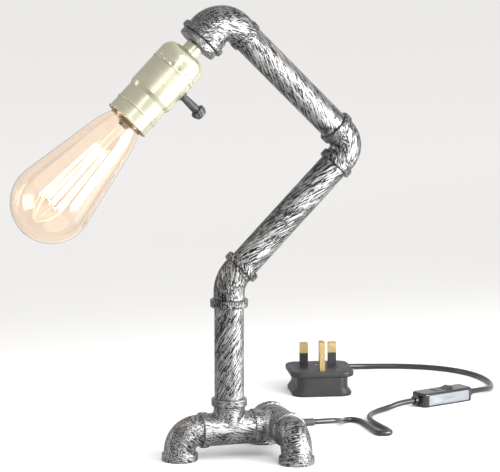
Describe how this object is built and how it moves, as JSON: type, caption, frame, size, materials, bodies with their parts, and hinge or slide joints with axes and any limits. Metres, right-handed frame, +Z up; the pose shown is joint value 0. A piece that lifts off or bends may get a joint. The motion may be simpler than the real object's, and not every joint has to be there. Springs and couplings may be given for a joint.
{
  "type": "table lamp",
  "caption": "Table lamp of black pipe fittings: three elbow feet, swivelling arms, brass turn-knob holder, filament bulb, corded switch and plug.",
  "frame": {"origin": "on the floor, at the middle of the lamp's box without its cord, switch and plug", "axes": "+Z up; X lies along the column tee's run and in the plane of the arms, with the bulb on the -X side; +Y points to the rear foot"},
  "size_m": [0.435, 0.3117, 0.3267],
  "materials": {
    "black_iron_fittings": "black lacquer, satin, rubbed to grey on raised edges",
    "black_iron_pipe": "black lacquer, satin, with dry-brushed silver streaks",
    "black_rubber": "satin",
    "flex_sheath": "gloss black sheath",
    "switch_plastic": "gloss",
    "rocker_plastic": "gloss",
    "plug_plastic": "fine satin",
    "sleeve_plastic": "satin",
    "pin_brass": "polished",
    "contact_brass": "satin",
    "holder_brass": "polished pale brass",
    "plated_steel": "plated",
    "dark_metal": "satin black",
    "knob_metal": "dark grey, satin",
    "liner_card": "fibre liner",
    "phenolic": "moulded phenolic",
    "amber_glass": "clear amber, gloss",
    "stem_glass": "clear",
    "cap_glass": "black",
    "lamp_cap_metal": "satin",
    "solder": "dull",
    "support_wire": "fine wire",
    "filament_carbon": "glowing",
    "fuse_ceramic": "glazed ceramic with metal ends"
  },
  "bodies": {
    "base": {"column_tee": "black_iron_fittings", "leg_tee": "black_iron_fittings", "left_foot_elbow": "black_iron_fittings", "front_foot_elbow": "black_iron_fittings", "rear_foot_elbow": "black_iron_fittings", "column_pipe": "black_iron_pipe", "cable_sleeve": "black_rubber", "base_flex": "flex_sheath", "lamp_side_cord": "flex_sheath", "plug_side_cord": "flex_sheath", "switch_base": "switch_plastic", "switch_cover": "switch_plastic", "switch_screw": "plated_steel", "switch_contacts": "contact_brass", "switch_leads": "flex_sheath", "plug_cover": "plug_plastic", "plug_face": "plug_plastic", "live_pin": "pin_brass", "neutral_pin": "pin_brass", "earth_pin": "pin_brass", "pin_sleeves": "sleeve_plastic", "plug_screw": "plated_steel", "plug_relief": "black_rubber", "plug_lead": "flex_sheath"},
    "lower_arm": {"elbow_45": "black_iron_fittings", "lower_arm_pipe": "black_iron_pipe", "lower_arm_flex": "flex_sheath"},
    "upper_arm": {"knee_elbow": "black_iron_fittings", "upper_arm_pipe": "black_iron_pipe", "upper_arm_flex": "flex_sheath"},
    "head": {"head_elbow": "black_iron_fittings", "head_bushing": "black_iron_fittings", "head_nipple": "plated_steel", "locknut": "plated_steel", "socket_cap": "holder_brass", "socket_shell": "holder_brass", "socket_liner": "liner_card", "socket_interior": "phenolic", "terminal_screws": "contact_brass", "screw_shell": "contact_brass", "centre_contact": "contact_brass", "switch_bush": "dark_metal", "head_flex": "flex_sheath"},
    "knob": {"switch_shaft": "plated_steel", "turn_knob": "knob_metal"},
    "bulb": {"bulb_glass": "amber_glass", "bulb_cap": "lamp_cap_metal", "bulb_insulator": "cap_glass", "bulb_contact": "solder", "bulb_stem": "stem_glass", "support_wires": "support_wire", "filament": "filament_carbon"},
    "rocker": {"switch_rocker": "rocker_plastic"},
    "fuse_drawer": {"fuse_carrier": "plug_plastic", "fuse": "fuse_ceramic"}
  },
  "joints": [
    {"name": "column_swivel", "type": "hinge", "parent": "base", "child": "lower_arm", "pos_m": [0.03037, 0, 0.1098], "axis": [0, 0, 1], "range_deg": [-90, 90]},
    {"name": "knee_swivel", "type": "hinge", "parent": "lower_arm", "child": "upper_arm", "pos_m": [0.10935, 0, 0.20798], "axis": [0.7071, 0, 0.7071], "range_deg": [-90, 90]},
    {"name": "head_swivel", "type": "hinge", "parent": "upper_arm", "child": "head", "pos_m": [0.04409, 0, 0.30267], "axis": [-0.7071, 0, 0.7071], "range_deg": [-90, 90]},
    {"name": "knob_turn", "type": "hinge", "parent": "head", "child": "knob", "pos_m": [-0.01687, 0, 0.27594], "axis": [0.7071, 0, -0.7071], "continuous": true},
    {"name": "bulb_unscrew", "type": "slide", "parent": "head", "child": "bulb", "axis": [-0.7071, 0, -0.7071], "range_m": [0, 0.032]},
    {"name": "rocker_press", "type": "hinge", "parent": "base", "child": "rocker", "pos_m": [0.24237, 0.1205, 0.0064], "axis": [-0.309, 0.9511, 0], "range_deg": [0, 16]},
    {"name": "fuse_drawer_slide", "type": "slide", "parent": "base", "child": "fuse_drawer", "axis": [0, 0, 1], "range_m": [0, 0.01]}
  ]
}
